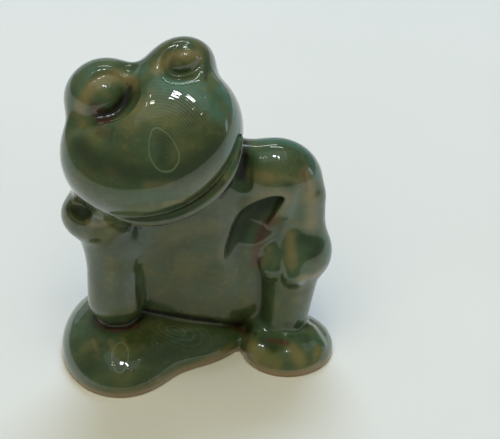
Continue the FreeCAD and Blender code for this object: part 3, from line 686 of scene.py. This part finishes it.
def glaze():
    g = Graph("majolica_glaze")
    broad_noise = g.noise(9.0, 2.0, 0.5, 0.4, 3.1)
    mid = g.noise(3.2, 3.0, 0.55, 0.3, 7.7)
    small = g.noise(0.9, 3.0, 0.6, 0.0, 1.3)
    grain = g.noise(0.28, 2.0, 0.6, 0.0, 5.9)
    # the green body of the glaze, mottled
    green = g.mix(g.band(broad_noise, 0.35, 0.65), (0.043, 0.066, 0.018), (0.050, 0.098, 0.044))
    green = g.mix(g.band(mid, 0.42, 0.70, 0.0, 0.55), green, (0.120, 0.128, 0.040))
    green = g.mix(g.band(small, 0.5, 0.75, 0.0, 0.35), green, (0.150, 0.155, 0.070))
    ragged = g.math("MULTIPLY_ADD", small, 0.5, g.math("MULTIPLY_ADD", mid, 0.5, -0.5))

    def stain_and_shade(name, lo, hi, top, under, tint):
        edge = g.math("ADD", g.attr(name), g.math("MULTIPLY", ragged, g.math("MULTIPLY", g.attr(name), 1.3)))
        return g.mix(g.band(edge, lo, hi, 0.0, top), under, tint)

    color = stain_and_shade("moss", 0.1, 1.0, 0.8, green, (0.052, 0.160, 0.120))
    # lighter olive glaze; on the middle of the face partly a painted sheen
    color = stain_and_shade("olive", 0.1, 1.0, 0.8, color, (0.160, 0.165, 0.050))
    # painted shade and painted dark reflections, with some darker glaze, laid as a near-black green
    color = stain_and_shade("shade_and_dark_glaze", 0.1, 1.0, 0.8, color, (0.018, 0.034, 0.010))
    # thin glaze on the edges shows the warm body under it
    thin = g.math("MULTIPLY_ADD", mid, 0.5, g.math("SUBTRACT", g.attr("thin"), 0.30))
    thin = g.band(thin, 0.0, 0.8, 0.0, 0.7)
    color = g.mix(thin, color, (0.230, 0.190, 0.080))
    color = stain_and_shade("tan", 0.05, 0.95, 0.85, color, (0.225, 0.190, 0.078))
    # thick glaze in the hollows goes dark, brown in the tightest
    deep = g.math("ADD", g.attr("deep"), g.math("MULTIPLY", small, 0.12))
    color = g.mix(g.band(deep, 0.15, 0.9, 0.0, 0.6), color, (0.026, 0.034, 0.014))
    color = g.mix(g.band(g.attr("pool"), 0.1, 0.9, 0.0, 0.85), color, (0.020, 0.014, 0.008))
    color = stain_and_shade("rust", 0.1, 0.9, 0.88, color, (0.085, 0.034, 0.018))
    # near-black in the creases: partly dark glaze, partly painted shade
    color = stain_and_shade("black_crease_and_shade", 0.1, 0.8, 0.95, color, (0.012, 0.009, 0.008))
    # fine contour lines left by the mould, under the glaze
    wave = g.math("SINE", g.math("MULTIPLY_ADD", g.math("SUBTRACT", mid, 0.5), 5.0, g.math("MULTIPLY", g.attr("phase"), 6.2832)))
    lines = g.math("MULTIPLY", g.band(wave, 0.0, 1.0), g.attr("lines"))
    color = g.mix(g.math("MULTIPLY", lines, 0.25), color, (0.20, 0.27, 0.16))
    ring = g.math("ABSOLUTE", g.math("ADD", g.attr("ring"), g.math("MULTIPLY_ADD", mid, 0.5, -0.25)))
    color = g.mix(g.band(ring, 0.02, 0.11, 0.42, 0.0), color, (0.20, 0.27, 0.16))
    color = g.mix(g.band(grain, 0.60, 0.80, 0.0, 0.18), color, (0.20, 0.20, 0.12))
    speck = g.noise(0.5, 1.0, 0.5, 0.0, 14.2)
    color = g.mix(g.band(speck, 0.74, 0.80, 0.0, 0.6), color, (0.020, 0.014, 0.010))
    # bare buff rim at the foot of the piece
    xyz = g.n("ShaderNodeSeparateXYZ")
    g.t.links.new(g.pos, xyz.inputs[0])
    edge = g.math("MULTIPLY_ADD", small, 0.0005, xyz.outputs[2])
    color = g.mix(g.band(edge, 0.0006, 0.0013, 0.85, 0.0), color, (0.30, 0.20, 0.10))
    s = g.n("ShaderNodeBsdfPrincipled")
    g.t.links.new(color, s.inputs["Base Color"])
    s.inputs["Roughness"].default_value = 0.45
    s.inputs["IOR"].default_value = 1.3
    s.inputs["Coat Weight"].default_value = 1.0
    s.inputs["Coat Roughness"].default_value = 0.025
    s.inputs["Coat IOR"].default_value = 1.68
    # the skin of the glaze: slow ripples, mould lines and a few pinholes
    pits = g.n("ShaderNodeTexVoronoi")
    g.t.links.new(g.pos, pits.inputs["Vector"])
    pits.inputs["Scale"].default_value = 330.0
    pit = g.band(pits.outputs["Distance"], 0.03, 0.09)
    height = g.math("MULTIPLY", g.noise(2.4, 2.0, 0.4, 0.0, 9.2), 0.000030)
    height = g.math("MULTIPLY_ADD", g.math("MULTIPLY", wave, g.attr("lines")), 0.0000012, height)
    height = g.math("MULTIPLY_ADD", pit, 0.000006, height)
    bump = g.n("ShaderNodeBump")
    bump.inputs["Strength"].default_value = 1.0
    bump.inputs["Distance"].default_value = 1.0
    g.t.links.new(height, bump.inputs["Height"])
    g.t.links.new(bump.outputs[0], s.inputs["Normal"])
    g.t.links.new(bump.outputs[0], s.inputs["Coat Normal"])
    o = g.n("ShaderNodeOutputMaterial")
    g.t.links.new(s.outputs[0], o.inputs[0])
    return g.mat


def clay():
    g = Graph("bare_clay")
    speck = g.noise(0.35, 4.0, 0.65, 0.0, 2.2)
    body = g.mix(g.band(g.noise(4.0, 3.0, 0.5, 0.0, 4.4), 0.3, 0.7), (0.34, 0.23, 0.12), (0.42, 0.31, 0.18))
    body = g.mix(g.band(speck, 0.58, 0.78, 0.0, 0.5), body, (0.16, 0.10, 0.05))
    s = g.n("ShaderNodeBsdfPrincipled")
    g.t.links.new(body, s.inputs["Base Color"])
    s.inputs["Roughness"].default_value = 0.9
    bump = g.n("ShaderNodeBump")
    bump.inputs["Strength"].default_value = 0.6
    bump.inputs["Distance"].default_value = 1.0
    g.t.links.new(g.math("MULTIPLY", speck, 0.00006), bump.inputs["Height"])
    g.t.links.new(bump.outputs[0], s.inputs["Normal"])
    o = g.n("ShaderNodeOutputMaterial")
    g.t.links.new(s.outputs[0], o.inputs[0])
    return g.mat


both = [glaze(), clay()]
for i, name in enumerate(NAMES, 1):
    member(name, i, both)

# ---- floor, light and camera ----
def real_point(x, y, z):
    return Vector([(v * SCALE + s) / 1000.0 for v, s in zip((x, y, z), SHIFT)])


def floor():
    mesh = bpy.data.meshes.new("floor")
    h = 1.6
    mesh.from_pydata([(-h, -h, 0), (h, -h, 0), (h, h, 0), (-h, h, 0)], [], [(0, 1, 2, 3)])
    o = bpy.data.objects.new("floor", mesh)
    bpy.context.scene.collection.objects.link(o)
    g = Graph("pale_table")
    tone = g.mix(g.band(g.noise(60.0, 2.0, 0.5, 0.0, 1.1), 0.3, 0.7), (0.78, 0.80, 0.80), (0.81, 0.825, 0.825))
    s = g.n("ShaderNodeBsdfPrincipled")
    g.t.links.new(tone, s.inputs["Base Color"])
    s.inputs["Roughness"].default_value = 0.55
    s.inputs["Specular IOR Level"].default_value = 0.25
    out = g.n("ShaderNodeOutputMaterial")
    g.t.links.new(s.outputs[0], out.inputs[0])
    mesh.materials.append(g.mat)


def look_at(o, target):
    o.rotation_mode = "QUATERNION"
    o.rotation_quaternion = (target - o.location).to_track_quat("-Z", "Y")


def area(name, at, size, watts, color, target=(0, 0, 0.015), glossy=True, shape="RECTANGLE"):
    d = bpy.data.lights.new(name, "AREA")
    d.shape = shape
    d.size, d.size_y = size
    d.energy = watts
    d.color = color
    o = bpy.data.objects.new(name, d)
    o.location = at
    look_at(o, Vector(target))
    o.visible_glossy = glossy
    bpy.context.scene.collection.objects.link(o)
    return o


def bulb(name, direction, distance, radius, watts, color):
    d = bpy.data.lights.new(name, "POINT")
    d.energy = watts
    d.shadow_soft_size = radius
    d.color = color
    o = bpy.data.objects.new(name, d)
    o.location = Vector(direction).normalized() * distance + Vector((0, 0, 0.02))
    bpy.context.scene.collection.objects.link(o)


def toward(azimuth, elevation):
    """Unit direction: azimuth 0 is behind the camera (-Y), 90 to its right, 180 behind the frog."""
    a, e = math.radians(azimuth), math.radians(elevation)
    return Vector((math.sin(a) * math.cos(e), -math.cos(a) * math.cos(e), math.sin(e)))


floor()
world = bpy.data.worlds.new("room")
bpy.context.scene.world = world
world.use_nodes = True
world.node_tree.nodes["Background"].inputs["Color"].default_value = (0.62, 0.70, 0.72, 1)
world.node_tree.nodes["Background"].inputs["Strength"].default_value = 0.17
# big soft sources for the shading, kept out of the reflections
area("cool_soft", toward(176, 50) * 1.0, (0.52, 0.36), 5.8, (0.64, 0.78, 1.0), glossy=False)
area("warm_soft", toward(-10, 68) * 1.0, (0.9, 0.9), 5.2, (1.0, 0.88, 0.52), glossy=False)
# small sources seen in the glaze
area("tube_a", toward(172, 60) * 1.2, (0.42, 0.045), 0.60, (0.9, 0.97, 1.0))
area("tube_b", toward(188, 50) * 1.2, (0.34, 0.035), 0.40, (0.9, 0.97, 1.0))
area("ceiling_a", toward(-14, 83) * 1.2, (0.11, 0.09), 0.80, (0.94, 0.98, 1.0))
area("ceiling_b", toward(36, 78) * 1.2, (0.05, 0.15), 0.55, (0.94, 0.98, 1.0))
for name, size, watts in (("ceiling_wide", (1.3, 0.9), 1.1), ("ceiling_mid", (0.9, 0.6), 0.5),
                          ("ceiling_near", (0.5, 0.34), 0.22)):
    area(name, toward(8, 86) * 1.4, size, watts, (0.74, 0.92, 1.0)).visible_diffuse = False
area("back_wall", toward(180, 10) * 1.5, (2.4, 0.35), 0.8, (0.80, 0.95, 1.0)).visible_diffuse = False
area("side_window", toward(94, 10) * 1.0, (0.16, 0.26), 0.22, (0.55, 0.75, 1.0))
for i, (az, el) in enumerate(((-72, 74), (-52, 73), (-60, 70))):
    bulb("lamp_a%d" % i, toward(az, el), 1.1, 0.012, 0.09, (1.0, 0.93, 0.78))
for i, (az, el) in enumerate(((37, 62), (27, 69), (88, 68))):
    bulb("lamp_b%d" % i, toward(az, el), 1.1, 0.010, 0.05, (1.0, 0.95, 0.85))

scene = bpy.context.scene
scene.view_settings.view_transform = "Standard"
scene.view_settings.look = "None"
cam_data = bpy.data.cameras.new("camera")
cam = bpy.data.objects.new("camera", cam_data)
scene.collection.objects.link(cam)
cam_data.sensor_width = 36.0
cam_data.lens = 1905.0 / 500.0 * 36.0
target = real_point(6.06, -1.75, 16.84)
cam.location = target + toward(0, 33.0) * (210.0 * SCALE / 1000.0)
look_at(cam, target)
cam_data.clip_start, cam_data.clip_end = 0.01, 20.0
scene.camera = cam
